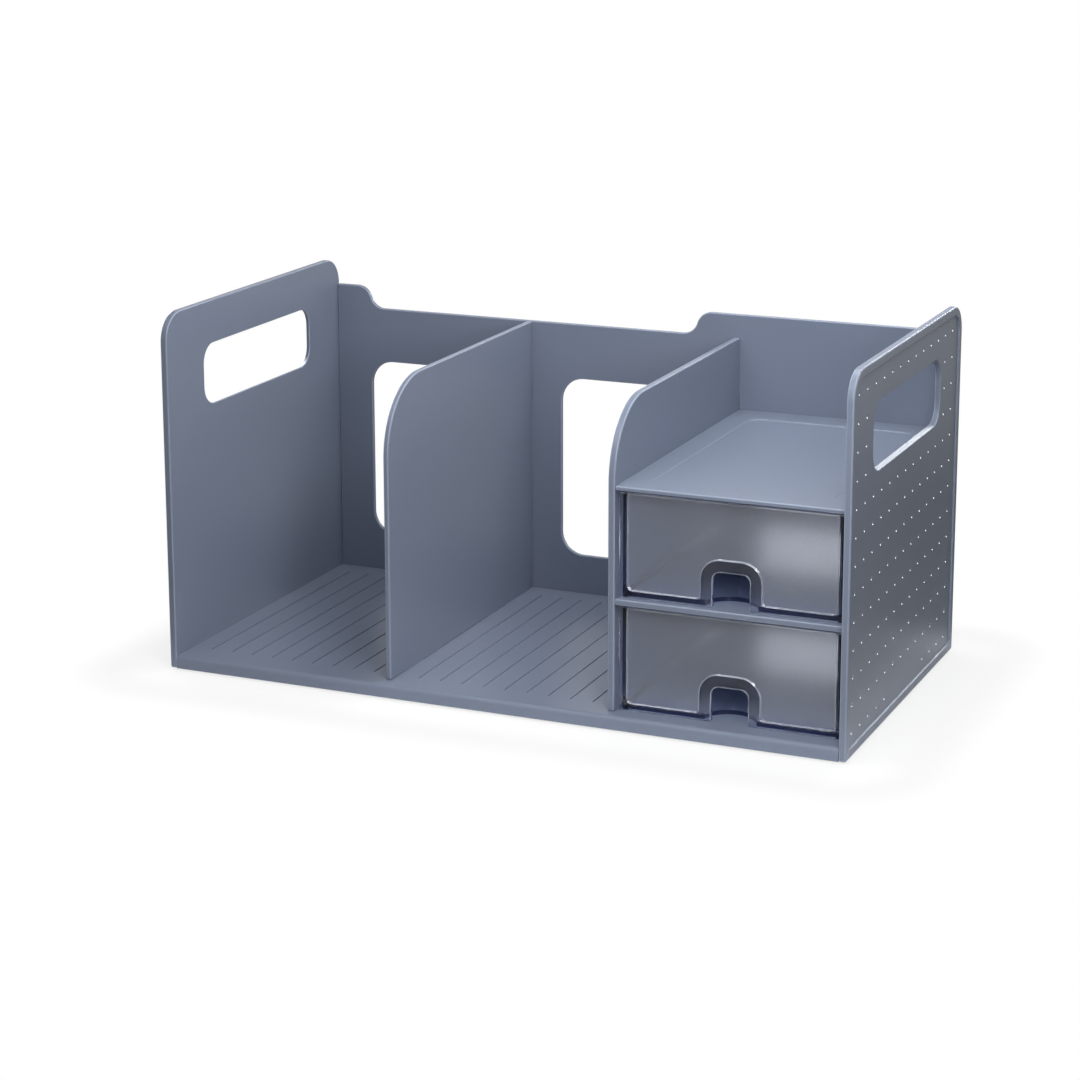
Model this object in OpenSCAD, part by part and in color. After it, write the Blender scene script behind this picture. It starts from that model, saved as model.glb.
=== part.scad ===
// Desktop book rack: two open book bays with grooved floors, a drawer
// cabinet with two clear drawers and a tray on top, and end panels with
// hand slots. Moulded plates push together with tongues and pockets.
// The front faces -Y. The origin is on the desk, under the rack's middle.

/* [Rack] */
// Width over both end panels
rack_w = 400; // [380:1:460]
// Depth, from the front edges of the end panels to their rear edges
rack_d = 208; // [180:1:250]
// Height of the end panels
panel_h = 204.5; // [198:0.5:250]
// How far dividers, cabinet wall and shelves stay behind the front edge
front_setback = 8.5; // [6:0.5:20]
// Clearance between plates that push together
fit_gap = 0.1; // [0.05:0.01:0.15]

/* [End panels] */
// Thickness of an end panel
end_t = 4; // [3.8:0.1:6]
// Radius of the two upper corners
end_corner_r = 16; // [12:0.5:24]
// Width of the raised rim round the outer face
rim_w = 5; // [4:0.5:8]
// How deep the outer face lies inside the rim
field_depth = 1; // [0.4:0.1:1.2]
// Corner radius at the foot of the sunken outer face
field_foot_r = 3; // [1:0.5:6]
// Length of the hand slot
slot_w = 127; // [95:1:140]
// Height of the hand slot
slot_h = 35; // [28:0.5:40]
// Corner radius of the hand slot
slot_r = 11; // [6:0.5:13]
// From the top of the panel down to the hand slot
slot_drop = 25; // [20:0.5:30]
// How far the slot opens out towards the outer face
slot_flare = 1.5; // [0.5:0.1:2]

/* [Base] */
// Height of the base from the foot of the panels to its top
base_h = 7.2; // [6.5:0.1:12]
// Thickness of the base's top skin
base_skin = 2.6; // [2:0.1:3]
// Thickness of the skirt round the base
skirt_t = 2.4; // [2:0.1:3]
// Radius of the front upper edge
base_front_r = 3; // [1:0.1:3.6]
// Thickness of the ribs under the base
rib_t = 1.6; // [1.2:0.1:2.4]
// Number of ribs that run front to back under each book bay
bay_ribs = 3; // [1:1:5]
// Grooves in the floor of each book bay
groove_count = 9; // [3:1:9]
// Distance between grooves
groove_pitch = 13; // [8:0.5:14]
// Width of a groove
groove_w = 1; // [0.6:0.1:2]
// Depth of a groove
groove_depth = 0.5; // [0.3:0.1:0.9]
// From the front edge of the rack to the grooves
groove_front = 19; // [14:0.5:30]
// From the back panel to the rear ends of the grooves
groove_rear = 15; // [10:0.5:30]

/* [Dividers] */
// Thickness of the divider between the book bays
divider_t = 3; // [2.6:0.1:4]
// Thickness of the cabinet wall, the second divider
wall_t = 3.8; // [3.6:0.1:5]
// Radius of the swept front upper corner of both
divider_r = 42; // [20:1:60]

/* [Back panel] */
// Thickness of the back panel
back_t = 2.7; // [2.6:0.1:4]
// Height of the low stretch, flush with the tops of the dividers
back_low_h = 174.4; // [171:0.2:178]
// Height of the raised ends
back_high_h = 188; // [180:0.5:192]
// Flat length of a raised end before it sweeps down
shoulder_w = 14; // [8:0.5:20]
// Length over which a raised end sweeps down
shoulder_run = 18; // [14:0.5:24]
// Width of a window
window_w = 90; // [60:1:96]
// Height of a book bay's window
window_h = 110; // [70:1:120]
// From the base's top up to a book bay's window
window_sill = 23.8; // [16:0.2:30]
// Corner radius of a book bay's window
window_r = 14; // [6:0.5:20]
// How far the outer windows sit off the middle of their bays
window_shift = 4; // [0:0.5:4]
// Height of a window behind a drawer
cell_window_h = 27; // [20:0.5:32]
// From a drawer's floor level up to the window behind it
cell_window_sill = 13.5; // [10:0.5:18]
// Corner radius of a window behind a drawer
cell_window_r = 6; // [3:0.5:8]

/* [Drawer cabinet] */
// Clear width between cabinet wall and right end panel
cabinet_w = 127.6; // [110:0.2:140]
// Thickness of the shelf between the drawers
middle_shelf_t = 3.4; // [2.6:0.1:4]
// Thickness of the shelf over the drawers
top_shelf_t = 2.4; // [2.2:0.1:4]
// Margin of the sunken tray in the top shelf, left and right
tray_side = 13.6; // [10:0.2:18]
// Margin of the tray at the back
tray_rear = 18.6; // [12:0.2:24]
// From the shelf's front edge to where the tray starts
tray_front = 20; // [14:0.5:40]
// Depth of the tray at its rear end
tray_depth = 0.8; // [0.4:0.1:1]
// Corner radius of the tray
tray_r = 10; // [4:0.5:12]

/* [Drawers] */
// Height of a drawer
drawer_h = 57.8; // [52:0.2:58]
// How far a drawer's front lies behind the shelf edges
drawer_recess = 3.5; // [1:0.5:8]
// Gap at each side of a drawer's front
drawer_side_gap = 1.1; // [0.6:0.1:2]
// Gap under a drawer's front and skids
drawer_lift = 0.3; // [0.2:0.05:0.6]
// Gap over a drawer's front
drawer_headroom = 1.2; // [0.6:0.1:2]
// Gap behind a drawer
drawer_rear_gap = 3.3; // [1:0.1:8]
// Thickness of a drawer's front at its border
front_t = 3; // [2.4:0.1:4]
// How deep the front's panel lies inside its border
front_recess = 1; // [0.4:0.1:1.4]
// Width of the border at the sides
border_side = 5; // [4:0.1:8]
// Width of the border at the foot
border_foot = 4.3; // [3:0.1:6]
// Width of the border at the top
border_top = 1.3; // [0.8:0.1:4]
// Corner radius inside the border
border_r = 3; // [1:0.5:5]
// How far the front stands out past the drawer's box at each side
front_lip = 1.6; // [0.8:0.1:2.4]
// Thickness of the side and rear walls of the box
box_t = 2; // [1.4:0.1:2.4]
// Thickness of the drawer's floor
floor_t = 2.4; // [1.6:0.1:3]
// Height of the skids under the floor
skid_h = 0.6; // [0.4:0.1:1]
// Width of a skid
skid_w = 3; // [2:0.5:6]
// How far the walls of the box stay below the top of the front
box_drop = 1.5; // [0:0.5:4]
// Radius of the box's rear corners
box_r = 5; // [3:0.5:8]
// Width of the finger arch in the front
arch_w = 20.6; // [18:0.2:26]
// Height of the finger arch
arch_h = 19.6; // [16:0.2:24]
// Radius of the arch's upper corners
arch_r = 4.5; // [2:0.5:8]
// Width of the raised rim round the arch
arch_rim = 7; // [5:0.5:8]
// Radius of the half-moon cut in the floor behind the arch
moon_r = 15; // [14:0.5:20]

/* [Feet] */
// Height at which the feet hold the rack above the desk
foot_standout = 1; // [0.6:0.1:2]
// Diameter of a rubber foot
foot_d = 12; // [8:0.5:14]
// From the outer edges of the base to the middle of a corner foot
foot_inset = 18; // [14:0.5:24]

/* [Hidden] */
$fn = 64;
// Overrun of every cut past the face that it leaves
over = 1;
// Steps in each arc of the back panel's sweeps
sweep_steps = 12;

// Tongues and pockets that join the plates
tongue_w = 16;
tongue_l = 1.8;
tongue_t = 1.5;
base_tongue_t = 3;
hook_l = 1.2;
shelf_tongue_w = 8;
rib_short = 1.6;
foot_cup = 0.8;
foot_cup_wall = 1.6;
foot_chamfer = 0.3;

// Places of the tongues along the edge that carries them
side_tongue_shares = [0.2, 0.5, 0.8];
divider_foot_shares = [0.25, 0.75];
divider_rear_shares = [0.3, 0.75];
back_end_shares = [0.25, 0.6, 0.85];
shelf_end_shares = [0.2, 0.8];

// Heights, from the desk up
foot_z = foot_standout;
base_z = foot_z + base_h;
skin_z = base_z - base_skin;
panel_z = foot_z + panel_h;
low_z = foot_z + back_low_h;
high_z = foot_z + back_high_h;
cell_h = drawer_h + drawer_lift + drawer_headroom;
middle_z = base_z + cell_h;
upper_cell_z = middle_z + middle_shelf_t;
top_z = upper_cell_z + cell_h;
tray_z = top_z + top_shelf_t;

// Places from left to right
left_x = -rack_w / 2 + end_t;
right_x = rack_w / 2 - end_t;
cell_x = right_x - cabinet_w;
wall_x = cell_x - wall_t;
bay_w = (wall_x - left_x - divider_t) / 2;
divider_x = left_x + bay_w;
second_bay_x = divider_x + divider_t;
inside_w = right_x - left_x;

// Places from front to back
front_y = -rack_d / 2;
rear_y = rack_d / 2;
back_y = rear_y - back_t;
set_y = front_y + front_setback;
base_d = back_y - fit_gap - front_y;
shelf_d = back_y - fit_gap - set_y;

// Drawer sizes
drawer_w = cabinet_w - 2 * drawer_side_gap;
drawer_y = set_y + drawer_recess;
drawer_d = back_y - drawer_rear_gap - drawer_y;
box_w = drawer_w - 2 * front_lip;
box_x = cell_x + drawer_side_gap + front_lip;
drawer_mid_x = cell_x + cabinet_w / 2;

// Rectangle from the origin with all four corners rounded
module rounded_rect(w, h, r) {
    translate([r, 0]) square([w - 2 * r, h]);
    translate([0, r]) square([w, h - 2 * r]);
    for (x = [r, w - r], y = [r, h - r])
        translate([x, y]) circle(r = r);
}

// Rectangle from the origin with only its two upper corners rounded
module arch_rect(w, h, r) {
    square([w, h - r]);
    translate([r, 0]) square([w - 2 * r, h]);
    for (x = [r, w - r])
        translate([x, h - r]) circle(r = r);
}

// Stands an outline drawn in depth and height up as a plate facing +X
module side_plate(x, t) {
    translate([x, 0, 0]) rotate([90, 0, 90]) linear_extrude(t) children();
}

// Stands an outline drawn in width and height up, its front face at y
module front_plate(y, t) {
    translate([0, y + t, 0]) rotate([90, 0, 0]) linear_extrude(t) children();
}

// Block between two corners
module block(low, high) {
    translate(low) cube(high - low);
}

// Point at a share of the stretch from a to b
function along(a, b, share) = a + (b - a) * share;

// Middles of the tongues along each edge
side_tongue_ys = [for (s = side_tongue_shares) along(front_y, back_y, s)];
divider_foot_ys = [for (s = divider_foot_shares) along(set_y, back_y, s)];
divider_rear_zs = [for (s = divider_rear_shares) along(base_z, low_z, s)];
back_end_zs = [for (s = back_end_shares) along(foot_z, low_z, s)];
shelf_end_ys = [for (s = shelf_end_shares) along(set_y, back_y, s)];
base_rear_xs = [left_x + bay_w / 2, second_bay_x + bay_w / 2, drawer_mid_x];
base_tongue_z = foot_z + (base_h - base_tongue_t) / 2;
shelf_rear_xs = [cell_x + shelf_tongue_w, right_x - shelf_tongue_w];

// A tongue module draws the tongues themselves at a gap of 0. At a larger
// gap it draws the cuts that take them, and a through cut runs past the face.
function past(gap) = gap > 0 ? over : 0;

// Tongues of the base: into both end panels and through the back panel
module base_tongues(gap) {
    high = base_tongue_z + base_tongue_t;
    for (side = [0, 1], y = side_tongue_ys)
        mirror([side, 0, 0])
            block([right_x - skirt_t, y - tongue_w / 2 - gap, base_tongue_z - gap],
                  [right_x + tongue_l + gap, y + tongue_w / 2 + gap, high + gap]);
    for (x = base_rear_xs)
        block([x - tongue_w / 2 - gap, back_y - skirt_t, base_tongue_z - gap],
              [x + tongue_w / 2 + gap, rear_y + past(gap), high + gap]);
}

// Tongues at both ends of the back panel, flush with its front face
module back_tongues(gap) {
    for (side = [0, 1], z = back_end_zs)
        mirror([side, 0, 0])
            block([right_x - tongue_l, back_y - gap, z - tongue_w / 2 - gap],
                  [right_x + tongue_l + gap, back_y + tongue_t + gap,
                   z + tongue_w / 2 + gap]);
}

// Tongues of an upright plate: down through the base and out through the back
module upright_tongues(x, t, gap) {
    for (y = divider_foot_ys)
        block([x - gap, y - tongue_w / 2 - gap, skin_z - hook_l],
              [x + t + gap, y + tongue_w / 2 + gap, base_z + over]);
    for (z = divider_rear_zs)
        block([x - gap, back_y - over, z - tongue_w / 2 - gap],
              [x + t + gap, rear_y + past(gap), z + tongue_w / 2 + gap]);
}

// Tongues of a shelf: into the cabinet wall, the end panel and the back
module shelf_tongues(z, t, gap) {
    low = z + (t - tongue_t) / 2;
    for (y = shelf_end_ys)
        block([cell_x - tongue_l - gap, y - tongue_w / 2 - gap, low - gap],
              [right_x + tongue_l + gap, y + tongue_w / 2 + gap, low + tongue_t + gap]);
    for (x = shelf_rear_xs)
        block([x - shelf_tongue_w / 2 - gap, back_y - over, low - gap],
              [x + shelf_tongue_w / 2 + gap, rear_y + past(gap), low + tongue_t + gap]);
}

// Places of the six feet, inset from the edges of the base
foot_xs = [left_x + foot_inset, 0, right_x - foot_inset];
foot_ys = [front_y + foot_inset, back_y - foot_inset];
foot_cup_r = foot_d / 2 + fit_gap;

// Profile of the base in depth and height, its front upper edge rounded
module base_profile() {
    translate([front_y, foot_z]) difference() {
        square([base_d, base_h]);
        translate([0, base_h - base_front_r]) difference() {
            translate([-over, 0]) square([base_front_r + over, base_front_r + over]);
            translate([base_front_r, 0]) circle(r = base_front_r);
        }
    }
}

// Ribs under the base, with a channel for each upright's tongues
module base_ribs() {
    channel_gap = 2 * fit_gap;
    bay_xs = [for (x = [left_x, second_bay_x], i = [1:bay_ribs])
        x + i * bay_w / (bay_ribs + 1) - rib_t / 2];
    channel_xs = [divider_x - channel_gap - rib_t, second_bay_x + channel_gap,
        wall_x - channel_gap - rib_t, cell_x + channel_gap];
    for (x = concat(bay_xs, channel_xs, [drawer_mid_x - rib_t / 2]))
        block([x, front_y + skirt_t / 2, foot_z + rib_short],
              [x + rib_t, front_y + base_d - skirt_t / 2, skin_z + base_skin / 2]);
}

// Grooves in the floor of one book bay, with round ends
module bay_grooves(x) {
    first = x + (bay_w - (groove_count - 1) * groove_pitch) / 2;
    low_y = front_y + groove_front;
    high_y = back_y - groove_rear;
    for (i = [0:groove_count - 1]) {
        groove_x = first + i * groove_pitch;
        block([groove_x - groove_w / 2, low_y, base_z - groove_depth],
              [groove_x + groove_w / 2, high_y, base_z + over]);
        for (y = [low_y, high_y])
            translate([groove_x, y, base_z - groove_depth])
                cylinder(d = groove_w, h = groove_depth + over);
    }
}

module base_plate() {
    color("#7b8494") {
        difference() {
            union() {
                difference() {
                    side_plate(left_x + fit_gap, inside_w - 2 * fit_gap) base_profile();
                    block([left_x + fit_gap + skirt_t, front_y + skirt_t, foot_z - over],
                          [right_x - fit_gap - skirt_t, front_y + base_d - skirt_t, skin_z]);
                }
                base_ribs();
                for (x = foot_xs, y = foot_ys)
                    translate([x, y, foot_z])
                        cylinder(r = foot_cup_r + foot_cup_wall, h = base_h - base_skin / 2);
                base_tongues(0);
            }
            for (x = foot_xs, y = foot_ys)
                translate([x, y, foot_z - over])
                    cylinder(r = foot_cup_r, h = foot_cup + over);
            for (x = [left_x, second_bay_x])
                bay_grooves(x);
            upright_tongues(divider_x, divider_t, fit_gap);
            upright_tongues(wall_x, wall_t, fit_gap);
        }
    }
}

// Outline of an end panel in depth and height
module end_outline() {
    translate([front_y, foot_z]) arch_rect(rack_d, panel_h, end_corner_r);
}

// Sunken field of the outer face, inside the rim
module end_field() {
    w = rack_d - 2 * rim_w;
    h = panel_h - 2 * rim_w;
    translate([front_y + rim_w, foot_z + rim_w]) {
        rounded_rect(w, h / 2, field_foot_r);
        translate([0, field_foot_r]) arch_rect(w, h - field_foot_r, end_corner_r - rim_w);
    }
}

// Hand slot, opening out towards the outer face
module hand_slot() {
    slot_z = panel_z - slot_drop - slot_h;
    inner_x = right_x - over;
    hull() {
        side_plate(inner_x, over)
            translate([-slot_w / 2, slot_z]) rounded_rect(slot_w, slot_h, slot_r, $fn = 32);
        side_plate(right_x + end_t, over)
            translate([-slot_w / 2 - slot_flare, slot_z - slot_flare])
                rounded_rect(slot_w + 2 * slot_flare, slot_h + 2 * slot_flare,
                             slot_r + slot_flare, $fn = 32);
    }
}

// End panel on the right, without the shelves' pockets
module end_blank() {
    difference() {
        side_plate(right_x, end_t) end_outline();
        side_plate(right_x + end_t - field_depth, field_depth + over) end_field();
        hand_slot();
        base_tongues(fit_gap);
        back_tongues(fit_gap);
    }
}

module left_end_panel() {
    color("#7b8494") mirror([1, 0, 0]) end_blank();
}

module right_end_panel() {
    color("#7b8494") difference() {
        end_blank();
        shelf_tongues(middle_z, middle_shelf_t, fit_gap);
        shelf_tongues(top_z, top_shelf_t, fit_gap);
    }
}

// Sweep between two levels: two like arcs that meet where each has turned by turn
function sweep(x, z, run, drop) =
    let (r = (run * run + drop * drop) / (4 * abs(drop)),
         turn = asin(abs(run) / (2 * r)),
         dx = sign(run), dz = sign(drop))
    concat([for (i = [0:sweep_steps]) let (a = turn * i / sweep_steps)
                [x + dx * r * sin(a), z + dz * r * (1 - cos(a))]],
           [for (i = [sweep_steps - 1:-1:0]) let (a = turn * i / sweep_steps)
                [x + run - dx * r * sin(a), z + drop - dz * r * (1 - cos(a))]]);

// Outline of the back panel in width and height
module back_outline() {
    left = left_x + fit_gap;
    right = right_x - fit_gap;
    drop = back_high_h - back_low_h;
    left_end = left_x + shoulder_w;
    right_end = wall_x - shoulder_w;
    polygon(concat([[right, foot_z], [left, foot_z], [left, high_z]],
                   sweep(left_end, high_z, shoulder_run, -drop),
                   sweep(right_end - shoulder_run, low_z, shoulder_run, drop),
                   [[right, high_z]]));
}

// Window with its lower edge at z, centred on x
module back_window(x, z, h, r) {
    translate([x - window_w / 2, z]) rounded_rect(window_w, h, r);
}

module back_panel() {
    color("#727b8b") difference() {
        union() {
            front_plate(back_y, back_t) difference() {
                back_outline();
                back_window(left_x + bay_w / 2 + window_shift, base_z + window_sill,
                            window_h, window_r);
                back_window(second_bay_x + bay_w / 2, base_z + window_sill,
                            window_h, window_r);
                for (z = [base_z, upper_cell_z])
                    back_window(drawer_mid_x - window_shift, z + cell_window_sill,
                                cell_window_h, cell_window_r);
            }
            back_tongues(0);
        }
        base_tongues(fit_gap);
        upright_tongues(divider_x, divider_t, fit_gap);
        upright_tongues(wall_x, wall_t, fit_gap);
        shelf_tongues(middle_z, middle_shelf_t, fit_gap);
        shelf_tongues(top_z, top_shelf_t, fit_gap);
    }
}

// Outline of an upright in depth and height, its front upper corner swept
module upright_outline() {
    d = back_y - fit_gap - set_y;
    h = low_z - base_z;
    translate([set_y, base_z]) difference() {
        square([d, h]);
        translate([0, h - divider_r]) difference() {
            translate([-over, 0]) square([divider_r + over, divider_r + over]);
            translate([divider_r, 0]) circle(r = divider_r, $fn = 128);
        }
    }
}

// Upright plate with its tongues
module upright(x, t) {
    side_plate(x, t) upright_outline();
    upright_tongues(x, t, 0);
}

module centre_divider() {
    color("#7b8494") upright(divider_x, divider_t);
}

module cabinet_wall() {
    color("#7b8494") difference() {
        upright(wall_x, wall_t);
        shelf_tongues(middle_z, middle_shelf_t, fit_gap);
        shelf_tongues(top_z, top_shelf_t, fit_gap);
    }
}

// Shelf of the cabinet with its tongues, its underside at z
module shelf(z, t) {
    block([cell_x + fit_gap, set_y, z], [right_x - fit_gap, back_y - fit_gap, z + t]);
    shelf_tongues(z, t, 0);
}

module middle_shelf() {
    color("#7b8494") shelf(middle_z, middle_shelf_t);
}

// Sunken tray of the top shelf, deepening from nothing towards the back
module shelf_tray() {
    start_y = set_y + tray_front;
    end_y = back_y - tray_rear;
    w = cabinet_w - 2 * tray_side;
    intersection() {
        translate([cell_x + tray_side, start_y - tray_r, tray_z - tray_depth])
            linear_extrude(tray_depth + over) rounded_rect(w, end_y - start_y + tray_r, tray_r);
        side_plate(cell_x, cabinet_w)
            polygon([[start_y, tray_z], [end_y, tray_z - tray_depth],
                     [end_y, tray_z + over], [start_y, tray_z + over]]);
    }
}

module top_shelf() {
    color("#7b8494") difference() {
        shelf(top_z, top_shelf_t);
        shelf_tray();
    }
}

// Outline of a drawer's front, from its lower left corner
module front_outline() {
    square([drawer_w, drawer_h]);
}

// Panel of the front inside its border, left clear of the arch's rim
module front_field() {
    difference() {
        translate([border_side, border_foot])
            rounded_rect(drawer_w - 2 * border_side, drawer_h - border_foot - border_top,
                         border_r);
        translate([drawer_w / 2 - arch_w / 2 - arch_rim, -over])
            arch_rect(arch_w + 2 * arch_rim, arch_h + arch_rim + over, arch_r + arch_rim);
    }
}

// Box of a drawer seen from above, rounded at the rear
module box_outline(inset) {
    w = box_w - 2 * inset;
    d = drawer_d - front_t - inset;
    translate([box_x + inset, drawer_y + front_t]) arch_rect(w, d, box_r - inset);
}

// Clear drawer that stands on the level z
module drawer(z) {
    low = z + drawer_lift;
    floor_z = low + skid_h;
    wall_z = low + drawer_h - box_drop;
    difference() {
        union() {
            translate([cell_x + drawer_side_gap, 0, low])
                front_plate(drawer_y, front_t) front_outline();
            translate([0, 0, floor_z]) linear_extrude(wall_z - floor_z) box_outline(0);
            for (x = [box_x, box_x + box_w - skid_w])
                block([x, drawer_y + front_t / 2, low],
                      [x + skid_w, drawer_y + drawer_d - box_r, floor_z + floor_t / 2]);
        }
        translate([0, 0, floor_z + floor_t])
            linear_extrude(drawer_h) box_outline(box_t);
        translate([cell_x + drawer_side_gap, 0, low])
            front_plate(drawer_y - over, front_recess + over) front_field();
        translate([drawer_mid_x - arch_w / 2, 0, low - over])
            front_plate(drawer_y - over, front_t + 2 * over)
                arch_rect(arch_w, arch_h + over, arch_r);
        intersection() {
            translate([drawer_mid_x, drawer_y, low - over])
                cylinder(r = moon_r, h = skid_h + floor_t + 2 * over);
            block([box_x, drawer_y + front_t, low - over],
                  [box_x + box_w, drawer_y + drawer_d, floor_z + floor_t + over]);
        }
    }
}

module upper_drawer() {
    color("#8a8f9c", 0.5) drawer(upper_cell_z);
}

module lower_drawer() {
    color("#8a8f9c", 0.5) drawer(base_z);
}

// Rubber foot in its cup, its lower edge chamfered
module rubber_foot(column, row) {
    color("#2e3138") translate([foot_xs[column], foot_ys[row], 0]) {
        translate([0, 0, foot_chamfer])
            cylinder(d = foot_d, h = foot_z + foot_cup - foot_chamfer);
        cylinder(d1 = foot_d - 2 * foot_chamfer, d2 = foot_d, h = foot_chamfer);
    }
}

module front_left_foot() { rubber_foot(0, 0); }
module front_middle_foot() { rubber_foot(1, 0); }
module front_right_foot() { rubber_foot(2, 0); }
module rear_left_foot() { rubber_foot(0, 1); }
module rear_middle_foot() { rubber_foot(1, 1); }
module rear_right_foot() { rubber_foot(2, 1); }

base_plate();
left_end_panel();
right_end_panel();
back_panel();
centre_divider();
cabinet_wall();
middle_shelf();
top_shelf();
upper_drawer();
lower_drawer();
front_left_foot();
front_middle_foot();
front_right_foot();
rear_left_foot();
rear_middle_foot();
rear_right_foot();
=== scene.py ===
# Desktop book rack: the looks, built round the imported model.
# Lengths are in millimetres in the shapes, and in metres on lamps, camera, floor and grain.
# The scales of grain, waves and clouds are counts for each metre.
import math
import bmesh
import bpy
from mathutils import Matrix, Vector
from mathutils.geometry import delaunay_2d_cdt


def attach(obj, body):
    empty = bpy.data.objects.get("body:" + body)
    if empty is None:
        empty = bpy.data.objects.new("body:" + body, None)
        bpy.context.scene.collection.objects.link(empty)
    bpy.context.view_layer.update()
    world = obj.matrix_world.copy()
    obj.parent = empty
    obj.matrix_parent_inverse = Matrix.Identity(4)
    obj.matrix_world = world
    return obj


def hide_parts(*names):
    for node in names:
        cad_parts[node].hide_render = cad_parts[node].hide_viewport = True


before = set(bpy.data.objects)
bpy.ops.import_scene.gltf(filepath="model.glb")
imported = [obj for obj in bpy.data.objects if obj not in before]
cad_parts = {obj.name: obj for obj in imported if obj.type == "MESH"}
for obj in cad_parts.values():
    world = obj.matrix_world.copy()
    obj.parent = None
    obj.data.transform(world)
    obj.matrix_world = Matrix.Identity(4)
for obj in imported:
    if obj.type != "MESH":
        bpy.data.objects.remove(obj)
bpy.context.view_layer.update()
MM = 0.001

# Sizes of the rack, the same as in the part's source
RACK_W, RACK_D, FOOT_Z, PANEL_H = 400.0, 208.0, 1.0, 204.5
END_T, END_CORNER, RIM_W, FIELD_DEPTH, FIELD_FOOT = 4.0, 16.0, 5.0, 1.0, 3.0
SLOT_W, SLOT_H, SLOT_R, SLOT_DROP, SLOT_FLARE = 127.0, 35.0, 11.0, 25.0, 1.5
BASE_H, BASE_SKIN, SETBACK = 7.2, 2.6, 8.5
DIVIDER_T, WALL_T, SWEPT_R = 3.0, 3.8, 42.0
BACK_T, BACK_LOW, BACK_HIGH, SHOULDER_W, SHOULDER_RUN = 2.7, 174.4, 188.0, 14.0, 18.0
WINDOW_W, WINDOW_H, WINDOW_SILL, WINDOW_R, WINDOW_SHIFT = 90.0, 110.0, 23.8, 14.0, 4.0
CELL_WINDOW_H, CELL_WINDOW_SILL, CELL_WINDOW_R = 27.0, 13.5, 6.0
CABINET_W, MIDDLE_T, TOP_T = 127.6, 3.4, 2.4
TRAY_SIDE, TRAY_REAR, TRAY_FRONT, TRAY_DEPTH, TRAY_R = 13.6, 18.6, 20.0, 0.8, 10.0
DRAWER_H, RECESS, SIDE_GAP, LIFT, HEADROOM, REAR_GAP = 57.8, 3.5, 1.1, 0.3, 1.2, 3.3
FRONT_T, FRONT_RECESS, BORDER_SIDE, BORDER_FOOT, BORDER_TOP = 3.0, 1.0, 5.0, 4.3, 1.3
FRONT_LIP, BOX_T, FLOOR_T, SKID_H, SKID_W, BOX_DROP, BOX_R = 1.6, 2.0, 2.4, 0.6, 3.0, 1.5, 5.0
ARCH_W, ARCH_H, ARCH_R, ARCH_RIM, MOON_R = 20.6, 19.6, 4.5, 7.0, 15.0
TONGUE_W, TONGUE_T, HOOK_L, SHELF_TONGUE_W, FIT = 16.0, 1.5, 1.2, 8.0, 0.1
BASE_TONGUE_T = 3.0

# Heights from the desk up, and places across and along the rack
BASE_Z = FOOT_Z + BASE_H
SKIN_Z = BASE_Z - BASE_SKIN
PANEL_Z = FOOT_Z + PANEL_H
LOW_Z, HIGH_Z = FOOT_Z + BACK_LOW, FOOT_Z + BACK_HIGH
CELL_H = DRAWER_H + LIFT + HEADROOM
MIDDLE_Z = BASE_Z + CELL_H
UPPER_CELL_Z = MIDDLE_Z + MIDDLE_T
TOP_Z = UPPER_CELL_Z + CELL_H
LEFT_X, RIGHT_X = -RACK_W / 2 + END_T, RACK_W / 2 - END_T
CELL_X = RIGHT_X - CABINET_W
WALL_X = CELL_X - WALL_T
BAY_W = (WALL_X - LEFT_X - DIVIDER_T) / 2
DIVIDER_X = LEFT_X + BAY_W
SECOND_X = DIVIDER_X + DIVIDER_T
MIDDLE_X = CELL_X + CABINET_W / 2
FRONT_Y, REAR_Y = -RACK_D / 2, RACK_D / 2
BACK_Y = REAR_Y - BACK_T
SET_Y = FRONT_Y + SETBACK
DRAWER_Y = SET_Y + RECESS
DRAWER_W = CABINET_W - 2 * SIDE_GAP
DRAWER_D = BACK_Y - REAR_GAP - DRAWER_Y
BOX_W = DRAWER_W - 2 * FRONT_LIP
BOX_X = CELL_X + SIDE_GAP + FRONT_LIP

# How finely round stretches are drawn, in steps for each arc
CRISP_STEPS, EDGE_STEPS, FLOOR_STEPS, FINE_EDGE_STEPS = 1, 3, 4, 5
TINY_CORNER_STEPS, SMALL_CORNER_STEPS, CORNER_STEPS, LARGE_CORNER_STEPS = 2, 4, 10, 12
SWEPT_STEPS = 40


def along(low, high, share):
    return low + (high - low) * share


# Outlines in two dimensions, all drawn counter-clockwise

def outline(corners, steps=CORNER_STEPS):
    """Closed outline through corners (u, v, radius, own steps or none), an arc at each"""
    points = []
    for i, (u, v, radius, *own) in enumerate(corners):
        count = own[0] if own else steps
        here = Vector((u, v))
        back = (Vector(corners[i - 1][:2]) - here).normalized()
        ahead = (Vector(corners[(i + 1) % len(corners)][:2]) - here).normalized()
        half = back.angle(ahead) / 2
        reach = radius / math.tan(half)
        centre = here + (back + ahead).normalized() * radius / math.sin(half)
        first = here + back * reach - centre
        turn = math.pi - 2 * half
        if back.cross(ahead) > 0:
            turn = -turn
        for k in range(count + 1):
            spoke = Matrix.Rotation(turn * k / count, 2) @ first
            points.append(centre + spoke)
    return points


def rectangle(u0, v0, u1, v1, radii, steps=CORNER_STEPS):
    """Rectangle with corner radii from the lower left on, counter-clockwise"""
    if isinstance(radii, (int, float)):
        radii = [radii] * 4
    return outline([(u0, v0, radii[0]), (u1, v0, radii[1]),
                    (u1, v1, radii[2]), (u0, v1, radii[3])], steps)


def circle(middle, radius, steps):
    return [middle + Vector((math.cos(a), math.sin(a))) * radius
            for a in (2 * math.pi * k / steps for k in range(steps))]


SHARPEST_MITRE = 0.3


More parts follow.
